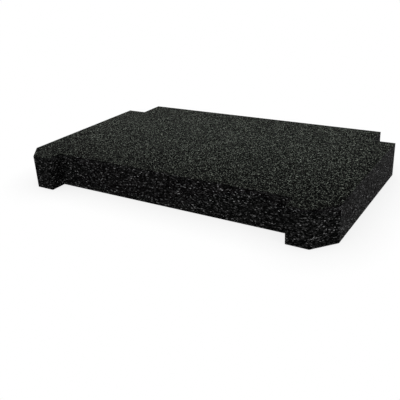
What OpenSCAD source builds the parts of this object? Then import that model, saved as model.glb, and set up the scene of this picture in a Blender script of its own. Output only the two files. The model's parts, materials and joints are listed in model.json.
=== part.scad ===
// Foam insert for a shallow tool drawer.
// One slab of closed-cell foam, knife-cut to the drawer's plan: tabs at the front corners with a
// recess between them, chamfers where the drawer's front corners curve in, and square notches round
// the posts at the back corners. Every cut goes straight through the sheet.
// Millimetres. The origin is under the middle of the slab, +X is right, +Y is the back, +Z is up.

/* [Slab] */
// Width over both sides
insert_w = 372; // [300:1:460]
// Depth from the front of the tabs to the back edge
insert_d = 236; // [180:1:300]
// Thickness of the foam sheet
sheet_t = 38; // [10:1:60]

/* [Front edge] */
// Width of each corner tab, from the side of the slab to the recess
tab_w = 42; // [32:0.5:70]
// How far the front edge is set back between the tabs
recess_d = 19; // [4:0.5:40]
// Length of each corner chamfer along the front
chamfer_w = 19; // [4:0.5:28]
// Length of each corner chamfer along the side
chamfer_d = 23; // [4:0.5:50]

/* [Back corners] */
// Width of each notch, in from the side
notch_w = 25.5; // [5:0.5:60]
// Depth of each notch, in from the back edge
notch_d = 34; // [5:0.5:80]

/* [Hidden] */
foam_colour = [0.13, 0.135, 0.13];
// How far a cut runs past the edge of the blank, so that it leaves no skin
overrun = 1;
half_w = insert_w / 2;
front_y = -insert_d / 2;
back_y = insert_d / 2;
recess_w = insert_w - 2 * tab_w;

// What it is given, and the same again on the other side of the middle
module both_sides() {
    children();
    mirror([1, 0]) children();
}

// The sheet before it is cut to shape
module blank() {
    square([insert_w, insert_d], center = true);
}

// The wide, shallow cut between the two front tabs
module front_recess() {
    translate([-recess_w / 2, front_y - overrun])
        square([recess_w, recess_d + overrun]);
}

// The slanted cut across the right front corner
module corner_chamfer() {
    slope = chamfer_d / chamfer_w;
    polygon([
        [half_w - chamfer_w - overrun / slope, front_y - overrun],
        [half_w + overrun, front_y - overrun],
        [half_w + overrun, front_y + chamfer_d + overrun * slope]
    ]);
}

// The square cut into the right back corner
module post_notch() {
    translate([half_w - notch_w, back_y - notch_d])
        square([notch_w + overrun, notch_d + overrun]);
}

// The plan of the insert, with its cuts
module plan() {
    difference() {
        blank();
        front_recess();
        both_sides() corner_chamfer();
        both_sides() post_notch();
    }
}

module foam_insert() {
    color(foam_colour)
        linear_extrude(height = sheet_t)
            plan();
}

foam_insert();
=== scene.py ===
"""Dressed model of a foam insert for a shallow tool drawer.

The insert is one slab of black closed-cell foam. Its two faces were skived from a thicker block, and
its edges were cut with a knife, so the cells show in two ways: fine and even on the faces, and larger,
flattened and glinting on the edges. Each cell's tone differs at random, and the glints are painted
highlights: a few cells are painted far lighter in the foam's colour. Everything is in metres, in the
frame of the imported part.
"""

from __future__ import annotations

import itertools
import json
import logging
import math
from collections.abc import Sequence
from dataclasses import dataclass, field
from enum import Enum, IntEnum

import bpy
import numpy as np
from mathutils import Matrix, Vector, noise

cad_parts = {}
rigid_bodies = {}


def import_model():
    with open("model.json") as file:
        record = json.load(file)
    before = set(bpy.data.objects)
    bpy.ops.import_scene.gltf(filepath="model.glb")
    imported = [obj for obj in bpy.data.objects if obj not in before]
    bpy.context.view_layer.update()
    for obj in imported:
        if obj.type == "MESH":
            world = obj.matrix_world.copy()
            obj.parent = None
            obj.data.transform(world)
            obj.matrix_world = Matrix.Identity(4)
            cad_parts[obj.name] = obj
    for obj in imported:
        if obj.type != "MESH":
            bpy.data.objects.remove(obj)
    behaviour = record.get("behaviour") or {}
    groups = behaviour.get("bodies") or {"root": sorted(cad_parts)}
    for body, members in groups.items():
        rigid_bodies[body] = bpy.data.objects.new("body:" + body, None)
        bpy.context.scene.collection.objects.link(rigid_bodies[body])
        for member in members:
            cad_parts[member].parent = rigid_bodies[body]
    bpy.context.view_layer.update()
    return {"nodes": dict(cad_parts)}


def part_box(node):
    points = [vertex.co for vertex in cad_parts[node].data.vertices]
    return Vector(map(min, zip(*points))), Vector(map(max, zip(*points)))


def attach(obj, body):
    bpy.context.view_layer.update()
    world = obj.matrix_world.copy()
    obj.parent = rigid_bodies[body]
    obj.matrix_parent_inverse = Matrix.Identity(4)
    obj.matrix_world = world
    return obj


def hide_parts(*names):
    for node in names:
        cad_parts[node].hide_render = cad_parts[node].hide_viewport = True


LOG = logging.getLogger("foam_insert")

INSERT_NODE = "foam_insert"
INSERT_BODY = "root"
BAKE_MAP = "OFBake"
# Corners of the solid are read to this many decimals of a metre
CORNER_DECIMALS = 6

Colour = tuple[float, float, float]
Place = tuple[float, float, float]
Spot = tuple[float, float]
Span = tuple[float, float]
GridPoint = tuple[int, int]


class Cut(IntEnum):
    """The two ways that the foam was cut, which are also the slab's material slots."""

    SKIVED = 0
    KNIFE = 1


class SocketKind(Enum):
    """Kinds of socket on the node groups."""

    VECTOR = "NodeSocketVector"
    VALUE = "NodeSocketFloat"


class NodeWriter:
    """Adds and links nodes in one node tree."""

    def __init__(self, tree: bpy.types.NodeTree) -> None:
        """Keeps the node tree of a material, a world or a group, to write in it."""
        self.tree = tree

    def feed(self, socket: bpy.types.NodeSocket, value: object) -> None:
        """Sets an input to a value, or links it if the value is an output socket.

        Args:
            socket: The input.
            value: A number, a tuple or an output socket.
        """
        if isinstance(value, bpy.types.NodeSocket):
            self.tree.links.new(value, socket)
        else:
            socket.default_value = value

    def add(
        self, kind: str, inputs: dict[str | int, object] | None = None, **settings: object
    ) -> bpy.types.Node:
        """Adds a node.

        Args:
            kind: Blender's name for the kind of node.
            inputs: Values or output sockets for the node's inputs, by socket name or number.
            settings: Properties of the node, set before its inputs.

        Returns:
            The new node.
        """
        node = self.tree.nodes.new(kind)
        for name, value in settings.items():
            setattr(node, name, value)
        for name, value in (inputs or {}).items():
            self.feed(node.inputs[name], value)
        return node

    def maths(self, operation: str, *values: object) -> bpy.types.NodeSocket:
        """Adds a Math node, with numbers or output sockets as its inputs in order, and gives its output."""
        return self.add("ShaderNodeMath", dict(enumerate(values)), operation=operation).outputs[0]

    def ease(self, value: bpy.types.NodeSocket, span: Span, to: Span) -> bpy.types.NodeSocket:
        """Maps a span of a value smoothly to another span, and holds it at the ends outside the span."""
        ends = {"Value": value, "From Min": span[0], "From Max": span[1], "To Min": to[0], "To Max": to[1]}
        return self.add("ShaderNodeMapRange", ends, interpolation_type="SMOOTHSTEP").outputs["Result"]


@dataclass
class FoamGroups:
    """Shader node groups that both finishes of the foam use.

    Attributes:
        wall_reach: How far the wall between two cells reaches into each, as a share of a cell's size.
        hollow_reach: How far in from its wall a cell is at its deepest, as a share of its size.
        mottle_detail: How many finer layers are laid over the slow changes of tone.
        cells: The group for cut cells.
        mottle: The group for slow changes of tone.
    """

    wall_reach: float = 0.12
    hollow_reach: float = 0.4
    mottle_detail: float = 3.0
    cells: bpy.types.NodeTree = field(init=False)
    mottle: bpy.types.NodeTree = field(init=False)

    def __post_init__(self) -> None:
        """Builds each group once."""
        self.cells = self._cells()
        self.mottle = self._mottle()

    @staticmethod
    def _start(
        name: str, inputs: dict[str, SocketKind], outputs: Sequence[str]
    ) -> tuple[NodeWriter, bpy.types.Node, bpy.types.Node]:
        """Makes an empty group with its sockets.

        Args:
            name: The group's name.
            inputs: Kind of each input, by name.
            outputs: Names of the outputs, which are all values.

        Returns:
            A writer for the group, its input node and its output node.
        """
        tree = bpy.data.node_groups.new(name, "ShaderNodeTree")
        for socket, kind in inputs.items():
            tree.interface.new_socket(socket, in_out="INPUT", socket_type=kind.value)
        for socket in outputs:
            tree.interface.new_socket(socket, in_out="OUTPUT", socket_type=SocketKind.VALUE.value)
        writer = NodeWriter(tree)
        return writer, writer.add("NodeGroupInput"), writer.add("NodeGroupOutput")

    def _cells(self) -> bpy.types.NodeTree:
        """Builds the group for cut cells.

        Returns:
            A group that gives each cell a random tone, a mask of the walls between cells, and the hollow of
            each cell, from 0 on its wall to 1 at its middle.
        """
        w, given, out = self._start(
            "foam_cells",
            {"Vector": SocketKind.VECTOR, "Cell Size": SocketKind.VALUE, "Flatten": SocketKind.VALUE},
            ("Tone", "Wall", "Hollow"),
        )
        per_metre = w.maths("DIVIDE", 1.0, given.outputs["Cell Size"])
        upright = w.maths("MULTIPLY", per_metre, given.outputs["Flatten"])
        stretch = w.add("ShaderNodeCombineXYZ", {"X": per_metre, "Y": per_metre, "Z": upright}).outputs[0]
        place = w.add(
            "ShaderNodeVectorMath", {0: given.outputs["Vector"], 1: stretch}, operation="MULTIPLY"
        ).outputs[0]
        cell = w.add("ShaderNodeTexVoronoi", {"Vector": place, "Scale": 1.0}, feature="F1")
        edge = w.add("ShaderNodeTexVoronoi", {"Vector": place, "Scale": 1.0}, feature="DISTANCE_TO_EDGE")
        inward = edge.outputs["Distance"]
        tone = w.add("ShaderNodeSeparateColor", {"Color": cell.outputs["Color"]}).outputs["Red"]
        w.feed(out.inputs["Tone"], tone)
        w.feed(out.inputs["Wall"], w.ease(inward, (0.0, self.wall_reach), (1.0, 0.0)))
        w.feed(out.inputs["Hollow"], w.ease(inward, (0.0, self.hollow_reach), (0.0, 1.0)))
        return w.tree

    def _mottle(self) -> bpy.types.NodeTree:
        """Builds the group for slow changes of tone.

        Returns:
            A group whose value wanders about 0.5 over the surface.
        """
        w, given, out = self._start(
            "foam_mottle", {"Vector": SocketKind.VECTOR, "Scale": SocketKind.VALUE}, ("Value",)
        )
        ways = {
            "Vector": given.outputs["Vector"],
            "Scale": given.outputs["Scale"],
            "Detail": self.mottle_detail,
        }
        w.feed(out.inputs["Value"], w.add("ShaderNodeTexNoise", ways).outputs["Fac"])
        return w.tree


@dataclass(frozen=True)
class FoamFinish:
    """How one kind of cut through the foam looks.

    Each cell has a random level of its own, and the walls between cells share one. The few lightest
    cells are painted glints: highlights painted into the base colour.

    Attributes:
        name: The material's name.
        colour: Mean colour of the cells.
        cell_size: Width of a cell.
        flatten: How many times as wide as high a cell is.
        rise: A high rise makes more of the cells dark, and leaves a few light ones as painted glints.
        glint: A high glint makes a few of the cells far lighter, as painted glints.
        wall_cover: How much of the walls' own level shows on them, from 0 to 1.
        wall_level: Level of the walls, where the mean of the cells is 1.
        open_roughness: Roughness of the darkest cells, which are cut wide open.
        skin_roughness: Roughness of the brightest cells, where a skin of foam is left.
        shine: The shader's specular level.
        pit_depth: How deep the cells look.
        mottle_scale: How many slow changes of tone there are to a metre.
        mottle_reach: How far the slow changes go either way, as a share of the level.
        brim: What a cell's tone is taken from for its painted glint: a little over 1, so that no glint
        is endless.
        mean_steps: How many tones the cells' mean level is worked out from.
    """

    name: str
    colour: Colour
    cell_size: float
    flatten: float
    rise: float
    glint: float
    wall_cover: float
    wall_level: float
    open_roughness: float
    skin_roughness: float
    shine: float
    pit_depth: float
    mottle_scale: float = 28.0
    mottle_reach: float = 0.08
    brim: float = 1.02
    mean_steps: int = 4000

    def material(self, groups: FoamGroups) -> bpy.types.Material:
        """Builds the finish's material.

        Args:
            groups: The shared node groups.

        Returns:
            The material.
        """
        made = bpy.data.materials.new(self.name)
        made.use_nodes = True
        made.node_tree.nodes.clear()
        w = NodeWriter(made.node_tree)
        place = w.add("ShaderNodeTexCoord").outputs["Object"]
        ways = {"Vector": place, "Cell Size": self.cell_size, "Flatten": self.flatten}
        cells = w.add("ShaderNodeGroup", ways, node_tree=groups.cells)
        slow = {"Vector": place, "Scale": self.mottle_scale}
        mottle = w.add("ShaderNodeGroup", slow, node_tree=groups.mottle)
        level = self._level(w, cells.outputs, mottle.outputs["Value"])
        colour = w.add("ShaderNodeVectorMath", {0: self.colour, "Scale": level}, operation="SCALE")
        reach = self.skin_roughness - self.open_roughness
        shader = w.add(
            "ShaderNodeBsdfPrincipled",
            {
                "Base Color": colour.outputs[0],
                "Roughness": w.maths("MULTIPLY_ADD", cells.outputs["Tone"], reach, self.open_roughness),
                "Specular IOR Level": self.shine,
                "Normal": self._normal(w, cells.outputs["Hollow"]),
            },
        )
        w.add("ShaderNodeOutputMaterial", {"Surface": shader.outputs[0]})
        return made

    def _level(
        self, w: NodeWriter, cells: bpy.types.NodeOutputs, mottle: bpy.types.NodeSocket
    ) -> bpy.types.NodeSocket:
        """Works out the level of the cells, which is 1 on average, and of their walls. The lightest cells
        are painted glints, highlights painted into the colour.

        Args:
            w: Writer for the material's tree.
            cells: Outputs of the cell group.
            mottle: The slow change of tone.

        Returns:
            The level.
        """
        # Random tone per cell; a few cells come out far lighter, as painted glints: highlights painted into
        # the colour
        dark = w.maths("POWER", cells["Tone"], self.rise)
        painted_glint = w.maths("POWER", w.maths("SUBTRACT", self.brim, cells["Tone"]), -self.glint)
        cell = w.maths("MULTIPLY", w.maths("MULTIPLY", dark, painted_glint), 1.0 / self._mean_level())
        cover = w.maths("MULTIPLY", cells["Wall"], self.wall_cover)
        walled = w.maths("MULTIPLY_ADD", cover, w.maths("SUBTRACT", self.wall_level, cell), cell)
        slow = w.maths("MULTIPLY_ADD", mottle, 2.0 * self.mottle_reach, 1.0 - self.mottle_reach)
        return w.maths("MULTIPLY", walled, slow)

    def _mean_level(self) -> float:
        """Gives the mean of the cells' levels, before they are scaled."""
        tone = (np.arange(self.mean_steps) + 0.5) / self.mean_steps
        return float(np.mean(tone**self.rise * (self.brim - tone) ** -self.glint))

    def _normal(self, w: NodeWriter, hollow: bpy.types.NodeSocket) -> bpy.types.NodeSocket:
        """Sinks each cell into the surface.

        Args:
            w: Writer for the material's tree.
            hollow: How far a point is from the wall of its cell.

        Returns:
            The normal.
        """
        height = w.maths("MULTIPLY", hollow, -1.0)
        bump = w.add("ShaderNodeBump", {"Height": height, "Strength": 1.0, "Distance": self.pit_depth})
        return bump.outputs["Normal"]


SKIVED_FOAM = FoamFinish(
    name="skived_foam",
    # The faces' colour is lighter than the edges', partly as the skived cut's own tone and partly as
    # painted light for the top lit more from above; it is also a little greener
    colour=(0.0170, 0.0189, 0.0159),
    cell_size=0.0007,
    flatten=1.0,
    rise=14.0,
    glint=0.0,
    wall_cover=0.2,
    wall_level=0.7,
    open_roughness=0.8,
    skin_roughness=0.2,
    shine=0.0026,
    pit_depth=0.00006,
)
KNIFE_CUT_FOAM = FoamFinish(
    name="knife_cut_foam",
    colour=(0.0133, 0.0133, 0.0133),
    cell_size=0.0016,
    flatten=2.3,
    rise=1.3,
    glint=1.0,
    wall_cover=0.5,
    wall_level=0.2,
    open_roughness=0.6,
    skin_roughness=0.2,
    shine=0.0019,
    pit_depth=0.0001,
)


@dataclass(frozen=True)
class Plan:
    """The insert's plan, read from the solid. It is the same on both sides of the middle.

    Attributes:
        side_x: The right side.
        recess_x: The right end of the recess in the front edge.
        chamfer_x: Where the right chamfer meets the front.
        notch_x: The inner wall of the right notch.
        front_y: The front of the tabs.
        recess_y: The back of the recess.
        chamfer_y: Where the chamfers meet the sides.
        notch_y: The front walls of the notches.
        back_y: The back edge.
    """

    side_x: float
    recess_x: float
    chamfer_x: float
    notch_x: float
    front_y: float
    recess_y: float
    chamfer_y: float
    notch_y: float
    back_y: float

    @classmethod
    def of_node(cls, node: bpy.types.Object) -> Plan:
        """Reads the plan from the corners of the solid.

        Args:
            node: The insert's CAD node.

        Returns:
            The plan.
        """
        right_half = [vertex.co for vertex in node.data.vertices if vertex.co.x > 0.0]
        corners = {(round(co.x, CORNER_DECIMALS), round(co.y, CORNER_DECIMALS)) for co in right_half}
        side_x = max(x for x, _ in corners)
        front_y = min(y for _, y in corners)
        back_y = max(y for _, y in corners)
        front = sorted(x for x, y in corners if y == front_y)
        side = sorted(y for x, y in corners if x == side_x)
        return cls(
            side_x=side_x,
            recess_x=front[0],
            chamfer_x=front[-1],
            notch_x=max(x for x, y in corners if y == back_y),
            front_y=front_y,
            recess_y=max(y for x, y in corners if x == front[0]),
            chamfer_y=side[0],
            notch_y=side[-1],
            back_y=back_y,
        )

    def side_at(self, y: np.ndarray) -> np.ndarray:
        """Finds how far the right edge is from the middle at places from front to back."""
        along = np.clip((self.chamfer_y - y) / (self.chamfer_y - self.front_y), 0.0, 1.0)
        return self.side_x - along * (self.side_x - self.chamfer_x)


def steps_between(stops: Sequence[float], pitch: float) -> tuple[np.ndarray, list[int]]:
    """Divides a line into even steps that keep its stops.

    Args:
        stops: Places that must be kept, in order.
        pitch: About how long a step is.

    Returns:
        The place of each step's end, and the number of each stop among them.
    """
    places, numbers = [stops[0]], [0]
    for start, end in zip(stops, stops[1:]):
        count = max(1, round((end - start) / pitch))
        places.extend(start + (end - start) * (k + 1) / count for k in range(count))
        numbers.append(len(places) - 1)
    return np.array(places), numbers


def thinned(stops: Sequence[int], step: int) -> list[int]:
    """Picks the stops, and every few numbers between them, in order."""
    picked = [k for start, end in zip(stops, stops[1:]) for k in range(start, end, step)]
    return picked + [stops[-1]]


@dataclass(frozen=True)
class PlanGrid:
    """A grid of points over the plan. Its outer columns lean in at the front, along the chamfers.

    Attributes:
        x: Place of each point across the slab.
        y: Place of each point from front to back.
        on_plan: True for each square between points that is foam.
        column_stops: Numbers of the columns at corners of the plan, from the left.
        row_stops: Numbers of the rows at corners of the plan, from the front.
    """

    x: np.ndarray
    y: np.ndarray
    on_plan: np.ndarray
    column_stops: list[int]
    row_stops: list[int]

    @classmethod
    def over(cls, plan: Plan, pitch: float) -> PlanGrid:
        """Lays a grid over a plan.

        Args:
            plan: The plan.
            pitch: About how far apart the points are.

        Returns:
            The grid.
        """
        half = [plan.recess_x, plan.notch_x, plan.side_x]
        columns, column_stops = steps_between([-x for x in reversed(half)] + half, pitch)
        stops = [plan.front_y, plan.recess_y, plan.chamfer_y, plan.notch_y, plan.back_y]
        rows, row_stops = steps_between(stops, pitch)
        x, y = np.meshgrid(columns, rows)
        outer = np.maximum(np.abs(x) - plan.recess_x, 0.0)
        lean = (plan.side_at(y) - plan.recess_x) / (plan.side_x - plan.recess_x)
        x = np.sign(x) * (np.minimum(np.abs(x), plan.recess_x) + outer * lean)
        across = np.abs(columns[:-1] + columns[1:]) / 2.0
        along = (rows[:-1] + rows[1:]) / 2.0
        in_recess = (across < plan.recess_x)[None, :] & (along < plan.recess_y)[:, None]
        in_notch = (across > plan.notch_x)[None, :] & (along > plan.notch_y)[:, None]
        return cls(x, y, ~(in_recess | in_notch), column_stops, row_stops)

    def spot(self, point: GridPoint) -> Spot:
        """Gives a point's place across the slab and from front to back."""
        return float(self.x[point]), float(self.y[point])

    def corners(self) -> np.ndarray:
        """Finds the points that are corners of squares of foam.

        Returns:
            True at each such point.
        """
        found = np.zeros(self.x.shape, bool)
        rows, columns = self.on_plan.shape
        for j, i in itertools.product((0, 1), repeat=2):
            found[j : j + rows, i : i + columns] |= self.on_plan
        return found

    def rim(self) -> list[GridPoint]:
        """Walks round the outline from the left front corner of the recess, with the foam on the left.

        Returns:
            The points of the outline, in order.
        """
        around = np.pad(self.on_plan, 1)
        foam = around[1:-1, 1:-1]
        # Squares that are bare in front, on the right, behind and on the left, and the ends of that side
        bare_sides = (
            (foam & ~around[:-2, 1:-1], (0, 0), (0, 1)),
            (foam & ~around[1:-1, 2:], (0, 1), (1, 1)),
            (foam & ~around[2:, 1:-1], (1, 1), (1, 0)),
            (foam & ~around[1:-1, :-2], (1, 0), (0, 0)),
        )
        onward = {
            (int(j) + a[0], int(i) + a[1]): (int(j) + b[0], int(i) + b[1])
            for found, a, b in bare_sides
            for j, i in np.argwhere(found)
        }
        rim = [self.strip_starts()[0]]
        while onward[rim[-1]] != rim[0]:
            rim.append(onward[rim[-1]])
        return rim

    def strip_starts(self) -> list[GridPoint]:
        """Picks the corners where the edge is divided into strips for baking.

        Returns:
            Both front corners of the recess, and the right and left ends of the back edge.
        """
        front, back = self.row_stops[0], self.row_stops[-1]
        _, left_notch, left_tab, right_tab, right_notch, _ = self.column_stops
        return [(front, left_tab), (front, right_tab), (back, right_notch), (back, left_notch)]

    def facing(self, rim: Sequence[GridPoint]) -> list[Spot]:
        """Finds which way the edge faces at each point of the outline.

        Args:
            rim: The points of the outline, in order.

        Returns:
            A level direction for each point, halfway between the two faces that meet there.
        """
        line = np.array([self.spot(point) for point in rim])
        steps = np.roll(line, -1, axis=0) - line
        steps /= np.linalg.norm(steps, axis=1, keepdims=True)
        steps = (steps + np.roll(steps, 1, axis=0)) / 2.0
        return [(float(y), float(-x)) for x, y in steps]


@dataclass(frozen=True)
class BakeSheet:
    """Where the slab's faces lie on the square sheet that is laid out for baking their colours.

    The top lies at the lower left, and the edges lie over it in four strips. The underside, turned and
    drawn smaller, fills the corner that is left.

    Attributes:
        plan: The slab's plan.
        thickness: The slab's thickness.
        side: Length of the sheet's side, at the slab's own size.
        gap: Bare margin round each face.
        below_scale: Size that the underside is drawn at.
    """

    plan: Plan
    thickness: float
    side: float = 0.436
    gap: float = 0.004
    below_scale: float = 0.4

    def top(self, x: float, y: float) -> Spot:
        """Places a point of the top on the sheet, in shares of the sheet's side."""
        right, up = x + self.plan.side_x + self.gap, y - self.plan.front_y + self.gap
        return right / self.side, up / self.side

    def strip(self, number: int, along: float, height: float) -> Spot:
        """Places a point of an edge, from its strip, its place along that and its height in the slab."""
        up = self._strips_start() + number * (self.thickness + self.gap) + height
        return (self.gap + along) / self.side, up / self.side

    def below(self, x: float, y: float) -> Spot:
        """Places a point of the underside.

        Args:
            x: The point's place across the slab.
            y: The point's place from front to back.

        Returns:
            The place on the sheet, in shares of its side.
        """
        right = self.side - self.gap - (self.plan.back_y - y) * self.below_scale
        up = self._strips_start() + (x + self.plan.side_x) * self.below_scale
        return right / self.side, up / self.side

    def _strips_start(self) -> float:
        """Gives how far up the sheet the first strip starts."""
        return self.plan.back_y - self.plan.front_y + 2.0 * self.gap


@dataclass
class Skin:
    """The faces of one part of the slab.

    Attributes:
        cut: How that part was cut.
        faces: The numbers of each face's points.
        corners: The place of each face's corners on the bake sheet, one face after another.
    """

    cut: Cut
    faces: list[tuple[int, ...]] = field(default_factory=list)
    corners: list[Spot] = field(default_factory=list)

    def add(self, points: Sequence[int], corners: Sequence[Spot]) -> None:
        """Adds a face, from the numbers of its points and the place of each on the bake sheet."""
        self.faces.append(tuple(points))
        self.corners.extend(corners)


@dataclass(frozen=True)
class PointNumbers:
    """The numbers that the slab's points have in its mesh.

    Attributes:
        top: Number of each grid point on the top, and -1 where there is no foam.
        layers: Numbers of the points round the edge, row by row, from the underside to the top.
        below: Numbers of the points on the underside.
        count: How many points there are in all.
    """

    top: np.ndarray
    layers: list[dict[GridPoint, int]]
    below: dict[GridPoint, int]
    count: int


@dataclass
class FoamInsert:
    """The slab of foam: one fine closed mesh with the relief of its cut cells, in two finishes.

    Attributes:
        plan: The slab's plan.
        bottom_z: Height of the underside.
        top_z: Height of the top.
        pitch: About how far apart the points of the top are, and those along the edge.
        row_pitch: About how far apart the rows of points round the edge are.
        below_step: How many steps of the grid a face of the underside spans.
        edge_pull: How far the sharp edges are drawn in.
        face_relief: How deep the cut cells of the top are.
        face_cell: Width of those cells.
        edge_relief: How deep the cut cells of the edge are.
        edge_cell: Width of those cells.
        edge_flatten: How many times as wide as high those cells are.
        pit_lead: How much nearer to its own cell's middle than to the next one's a point has to be to lie
            at the bottom of the cell, as a share of the cells' width.
        crease_deg: Angle in degrees between faces from which the edge between them is shaded sharp.
        sheet: Where the faces lie for baking.
        grid: The grid over the plan.
        rim: The grid's points round the outline, in order.
        levels: Heights of the rows of points round the edge.
        below_rows: Numbers of the grid's rows that the underside has.
        below_columns: Numbers of the grid's columns that the underside has.
        numbers: The numbers of the mesh's points.
    """

    plan: Plan
    bottom_z: float
    top_z: float
    pitch: float = 0.00125
    row_pitch: float = 0.001
    below_step: int = 4
    edge_pull: float = 0.0001
    face_relief: float = 0.00006
    face_cell: float = 0.0026
    edge_relief: float = 0.00014
    edge_cell: float = 0.0026
    edge_flatten: float = 1.6
    pit_lead: float = 0.5
    crease_deg: float = 50.0
    sheet: BakeSheet = field(init=False)
    grid: PlanGrid = field(init=False)
    rim: list[GridPoint] = field(init=False)
    levels: np.ndarray = field(init=False)
    below_rows: list[int] = field(init=False)
    below_columns: list[int] = field(init=False)
    numbers: PointNumbers = field(init=False)

    def __post_init__(self) -> None:
        """Lays the grid over the plan, and numbers the points of the mesh."""
        self.sheet = BakeSheet(self.plan, self.top_z - self.bottom_z)
        self.grid = PlanGrid.over(self.plan, self.pitch)
        self.rim = self.grid.rim()
        self.levels, _ = steps_between([self.bottom_z, self.top_z], self.row_pitch)
        self.below_rows = thinned(self.grid.row_stops, self.below_step)
        self.below_columns = thinned(self.grid.column_stops, self.below_step)
        self.numbers = self._numbered()

    def build(self) -> bpy.types.Object:
        """Builds the slab's mesh.

        Returns:
            The slab, at the origin of the part's frame.
        """
        skins = (self._top_skin(), self._edge_skin(), self._below_skin())
        mesh = bpy.data.meshes.new("foam_slab")
        mesh.from_pydata(self._placed().tolist(), [], [face for skin in skins for face in skin.faces])
        mesh.polygons.foreach_set("material_index", [int(skin.cut) for skin in skins for _ in skin.faces])
        spots = [value for skin in skins for spot in skin.corners for value in spot]
        mesh.uv_layers.new(name=BAKE_MAP).data.foreach_set("uv", spots)
        mesh.shade_smooth()
        mesh.set_sharp_from_angle(angle=math.radians(self.crease_deg))
        slab = bpy.data.objects.new("foam_slab", mesh)
        bpy.context.scene.collection.objects.link(slab)
        return slab

    def dress(self, slab: bpy.types.Object, groups: FoamGroups) -> None:
        """Gives the slab its finishes and ties it to the part.

        Args:
            slab: The slab's object.
            groups: The shared node groups.
        """
        finishes = {Cut.SKIVED: SKIVED_FOAM, Cut.KNIFE: KNIFE_CUT_FOAM}
        for cut in Cut:
            slab.data.materials.append(finishes[cut].material(groups))
        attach(slab, INSERT_BODY)
        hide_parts(INSERT_NODE)

    def _numbered(self) -> PointNumbers:
        """Numbers the points of the top, of the rows round the edge and of the underside.

        Returns:
            The numbers.
        """
        used = self.grid.corners()
        count = int(used.sum())
        top = np.full(used.shape, -1)
        top[used] = np.arange(count)
        layers = []
        for _ in self.levels[:-1]:
            layers.append({point: count + k for k, point in enumerate(self.rim)})
            count += len(self.rim)
        layers.append({point: int(top[point]) for point in self.rim})
        below = dict(layers[0])
        for point in itertools.product(self.below_rows, self.below_columns):
            if used[point] and point not in below:
                below[point] = count
                count += 1
        return PointNumbers(top, layers, below, count)

    def _top_skin(self) -> Skin:
        """Makes the faces of the top.

        Returns:
            The skin.
        """
        skin = Skin(Cut.SKIVED)
        for j, i in np.argwhere(self.grid.on_plan):
            ring = [(j, i), (j, i + 1), (j + 1, i + 1), (j + 1, i)]
            spots = [self.sheet.top(*self.grid.spot(point)) for point in ring]
            skin.add([int(self.numbers.top[point]) for point in ring], spots)
        return skin

    def _edge_skin(self) -> Skin:
        """Makes the faces of the edge, strip by strip.

        Returns:
            The skin.
        """
        skin = Skin(Cut.KNIFE)
        layers = self.numbers.layers
        rows = list(zip(layers, layers[1:], self.levels, self.levels[1:]))
        starts = [self.rim.index(corner) for corner in self.grid.strip_starts()]
        for strip, (start, end) in enumerate(zip(starts, starts[1:] + [len(self.rim)])):
            along = 0.0
            for k in range(start, end):
                a, b = self.rim[k], self.rim[(k + 1) % len(self.rim)]
                on = along + math.dist(self.grid.spot(a), self.grid.spot(b))
                for low, high, z0, z1 in rows:
                    ring = [(along, z0), (on, z0), (on, z1), (along, z1)]
                    spots = [self.sheet.strip(strip, u, z - self.bottom_z) for u, z in ring]
                    skin.add([low[a], low[b], high[b], high[a]], spots)
                along = on
        return skin

    def _below_skin(self) -> Skin:
        """Makes the faces of the underside, larger ones that take up each point of the edge.

        Returns:
            The skin.
        """
        skin = Skin(Cut.SKIVED)
        below = self.numbers.below
        for j0, j1 in zip(self.below_rows, self.below_rows[1:]):
            for i0, i1 in zip(self.below_columns, self.below_columns[1:]):
                if not self.grid.on_plan[j0, i0]:
                    continue
                ring = [(j, i0) for j in range(j0, j1)] + [(j1, i) for i in range(i0, i1)]
                ring += [(j, i1) for j in range(j1, j0, -1)] + [(j0, i) for i in range(i1, i0, -1)]
                ring = [point for point in ring if point in below]
                spots = [self.sheet.below(*self.grid.spot(point)) for point in ring]
                skin.add([below[point] for point in ring], spots)
        return skin

    def _pit(self, place: Place, cell: float, flatten: float) -> float:
        """Finds how deep a point lies in its cut cell, from 0, on the wall between two cells, to 1."""
        distances, _ = noise.voronoi(Vector((place[0], place[1], place[2] * flatten)) / cell)
        return min(1.0, (distances[1] - distances[0]) / self.pit_lead)

    def _placed(self) -> np.ndarray:
        """Places the points, with the cut cells sunk in and the sharp edges eased.

        Returns:
            The place of each point.
        """
        places = np.zeros((self.numbers.count, 3))
        for point in zip(*np.nonzero(self.numbers.top >= 0)):
            x, y = self.grid.spot(point)
            sunk = self.face_relief * self._pit((x, y, self.top_z), self.face_cell, 1.0)
            places[self.numbers.top[point]] = (x, y, self.top_z - sunk)
        for point, number in self.numbers.below.items():
            places[number] = (*self.grid.spot(point), self.bottom_z)
        top_row = len(self.levels) - 1
        for point, (out_x, out_y) in zip(self.rim, self.grid.facing(self.rim)):
            x, y = self.grid.spot(point)
            for row, z in enumerate(self.levels):
                sunk = self.edge_relief * self._pit((x, y, z), self.edge_cell, self.edge_flatten)
                if row in (0, top_row):
                    sunk += self.edge_pull
                drop = self.edge_pull if row == top_row else 0.0
                number = self.numbers.layers[row][point]
                places[number] = (x - out_x * sunk, y - out_y * sunk, z - drop)
        return places


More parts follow.
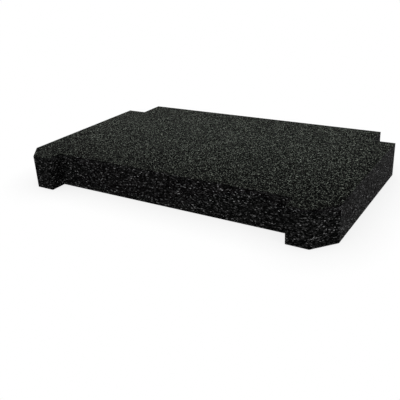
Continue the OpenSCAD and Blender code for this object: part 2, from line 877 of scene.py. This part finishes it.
@dataclass(frozen=True)
class Lamp:
    """A soft oblong lamp that lights the object, but is itself neither seen nor mirrored.

    Attributes:
        name: The lamp's name.
        place: Where its middle is.
        width: Its width.
        height: Its height.
        watts: Its power.
        aim: The point that it faces.
    """

    name: str
    place: Place
    width: float
    height: float
    watts: float
    aim: Place = (0.0, 0.0, 0.0)

    def build(self) -> bpy.types.Object:
        """Builds the lamp.

        Returns:
            The lamp.
        """
        data = bpy.data.lights.new(self.name, "AREA")
        data.shape = "RECTANGLE"
        data.size = self.width
        data.size_y = self.height
        data.energy = self.watts
        lamp = bpy.data.objects.new(self.name, data)
        lamp.location = self.place
        ahead = Vector(self.aim) - Vector(self.place)
        lamp.rotation_euler = ahead.to_track_quat("-Z", "Y").to_euler()
        lamp.visible_camera = False
        lamp.visible_glossy = False
        bpy.context.scene.collection.objects.link(lamp)
        return lamp


@dataclass
class Studio:
    """A plain pale floor, soft lamps and an even white surround.

    Attributes:
        floor_side: Length of the floor's sides.
        floor_z: Height of the floor, a hair under the slab.
        floor_bounce: How much light the floor throws back, from 0 to 1.
        shadow_reach: How far out from the object its shadow on the floor fades.
        shadow_depth: How much the shadow darkens the floor where all light is kept off it.
        shadow_samples: How many ways the floor looks for what shades it.
        ambient: Strength of the surround's light, where 1 is white.
        lamps: The lamps.
    """

    floor_side: float = 40.0
    floor_z: float = -0.0002
    floor_bounce: float = 0.6
    shadow_reach: float = 0.05
    shadow_depth: float = 0.24
    shadow_samples: int = 4
    ambient: float = 0.25
    lamps: tuple[Lamp, ...] = (
        Lamp("overhead", (-0.18, 0.05, 0.14), 0.8, 0.2, 0.9, aim=(-0.18, 0.05, 0.0)),
        Lamp("right", (1.2, 0.55, 0.35), 1.0, 0.5, 10.8),
        Lamp("fill", (0.2, -0.8, 0.2), 0.6, 0.3, 3.5),
    )

    def build(self) -> bpy.types.Object:
        """Builds the floor, the surround and the lamps, and sets how colours are shown.

        Returns:
            The floor.
        """
        floor = self._floor()
        floor.data.materials.append(self._pale())
        self._surround()
        for lamp in self.lamps:
            lamp.build()
        bpy.context.scene.view_settings.view_transform = "Standard"
        return floor

    def _floor(self) -> bpy.types.Object:
        """Lays the floor.

        Returns:
            The floor.
        """
        half = self.floor_side / 2.0
        corners = [(-half, -half), (half, -half), (half, half), (-half, half)]
        mesh = bpy.data.meshes.new("floor")
        mesh.from_pydata([(x, y, self.floor_z) for x, y in corners], [], [(0, 1, 2, 3)])
        floor = bpy.data.objects.new("floor", mesh)
        bpy.context.scene.collection.objects.link(floor)
        return floor

    def _pale(self) -> bpy.types.Material:
        """Makes the floor's material: it shows white, but for the soft shadow of the object.

        Returns:
            The material.
        """
        pale = bpy.data.materials.new("pale_floor")
        pale.use_nodes = True
        pale.node_tree.nodes.clear()
        w = NodeWriter(pale.node_tree)
        clear = w.add(
            "ShaderNodeAmbientOcclusion", {"Distance": self.shadow_reach}, samples=self.shadow_samples
        ).outputs["AO"]
        white = w.maths("MULTIPLY_ADD", clear, self.shadow_depth, 1.0 - self.shadow_depth)
        shown = w.add("ShaderNodeEmission", {"Strength": white})
        bounced = w.add("ShaderNodeBsdfDiffuse", {"Color": (*[self.floor_bounce] * 3, 1.0)})
        choices = {0: self._seen(w), 1: bounced.outputs[0], 2: shown.outputs[0]}
        either = w.add("ShaderNodeMixShader", choices)
        w.add("ShaderNodeOutputMaterial", {"Surface": either.outputs[0]})
        return pale

    def _surround(self) -> None:
        """Makes the world: white where it shows, and an even low light."""
        world = bpy.data.worlds.new("surround")
        world.use_nodes = True
        world.node_tree.nodes.clear()
        w = NodeWriter(world.node_tree)
        strength = w.maths("MULTIPLY_ADD", self._seen(w), 1.0 - self.ambient, self.ambient)
        light = w.add("ShaderNodeBackground", {"Color": (1.0, 1.0, 1.0, 1.0), "Strength": strength})
        w.add("ShaderNodeOutputWorld", {"Surface": light.outputs[0]})
        bpy.context.scene.world = world

    @staticmethod
    def _seen(w: NodeWriter) -> bpy.types.NodeSocket:
        """Finds the rays that show the background itself.

        Args:
            w: Writer for a material's or the world's tree.

        Returns:
            1 for rays from the camera, reflections and what shows through glass, and 0 for the others.
        """
        path = w.add("ShaderNodeLightPath").outputs
        seen = w.maths("MAXIMUM", path["Is Camera Ray"], path["Is Glossy Ray"])
        return w.maths("MAXIMUM", seen, path["Is Transmission Ray"])


@dataclass(frozen=True)
class ViewCamera:
    """A camera at the photograph's place, found from the outline of the slab.

    Attributes:
        place: Where the camera is.
        azimuth: How far to the left of straight back it looks, in degrees.
        elevation: How far down it looks, in degrees.
        roll: How far it is turned about its own line of sight, in degrees.
        lens_mm: Focal length, in millimetres.
        sensor_mm: Width of the sensor, in millimetres.
        sight: How far it sees.
    """

    place: Place = (0.32204, -0.52556, 0.24420)
    azimuth: float = 33.085
    elevation: float = 24.127
    roll: float = -3.131
    lens_mm: float = 50.447
    sensor_mm: float = 36.0
    sight: float = 100.0

    def build(self) -> bpy.types.Object:
        """Builds the camera and makes it the scene's own.

        Returns:
            The camera.
        """
        turn, drop, roll = (math.radians(v) for v in (self.azimuth, self.elevation, self.roll))
        ahead = Vector((-math.sin(turn) * math.cos(drop), math.cos(turn) * math.cos(drop), -math.sin(drop)))
        level = Vector((math.cos(turn), math.sin(turn), 0.0))
        upright = level.cross(ahead)
        right = level * math.cos(roll) + upright * math.sin(roll)
        up = upright * math.cos(roll) - level * math.sin(roll)
        data = bpy.data.cameras.new("view_camera")
        data.lens = self.lens_mm
        data.sensor_width = self.sensor_mm
        data.clip_end = self.sight
        camera = bpy.data.objects.new("view_camera", data)
        axes = Matrix((right, up, -ahead)).transposed().to_4x4()
        camera.matrix_world = Matrix.Translation(self.place) @ axes
        bpy.context.scene.collection.objects.link(camera)
        bpy.context.scene.camera = camera
        return camera


def main() -> None:
    """Builds the insert, its studio and the camera."""
    logging.basicConfig(level=logging.INFO, format="%(name)s: %(message)s")
    for thing in list(bpy.data.objects):
        bpy.data.objects.remove(thing)
    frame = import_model()
    low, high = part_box(INSERT_NODE)
    insert = FoamInsert(Plan.of_node(frame["nodes"][INSERT_NODE]), low.z, high.z)
    slab = insert.build()
    insert.dress(slab, FoamGroups())
    LOG.info("%s: %d points, %d faces", slab.name, len(slab.data.vertices), len(slab.data.polygons))
    studio = Studio()
    floor = studio.build()
    LOG.info("%s: %.0f m square, under %d lamps", floor.name, studio.floor_side, len(studio.lamps))
    camera = ViewCamera().build()
    LOG.info("%s: lens %.1f mm", camera.name, camera.data.lens)


if __name__ == "__main__":
    main()
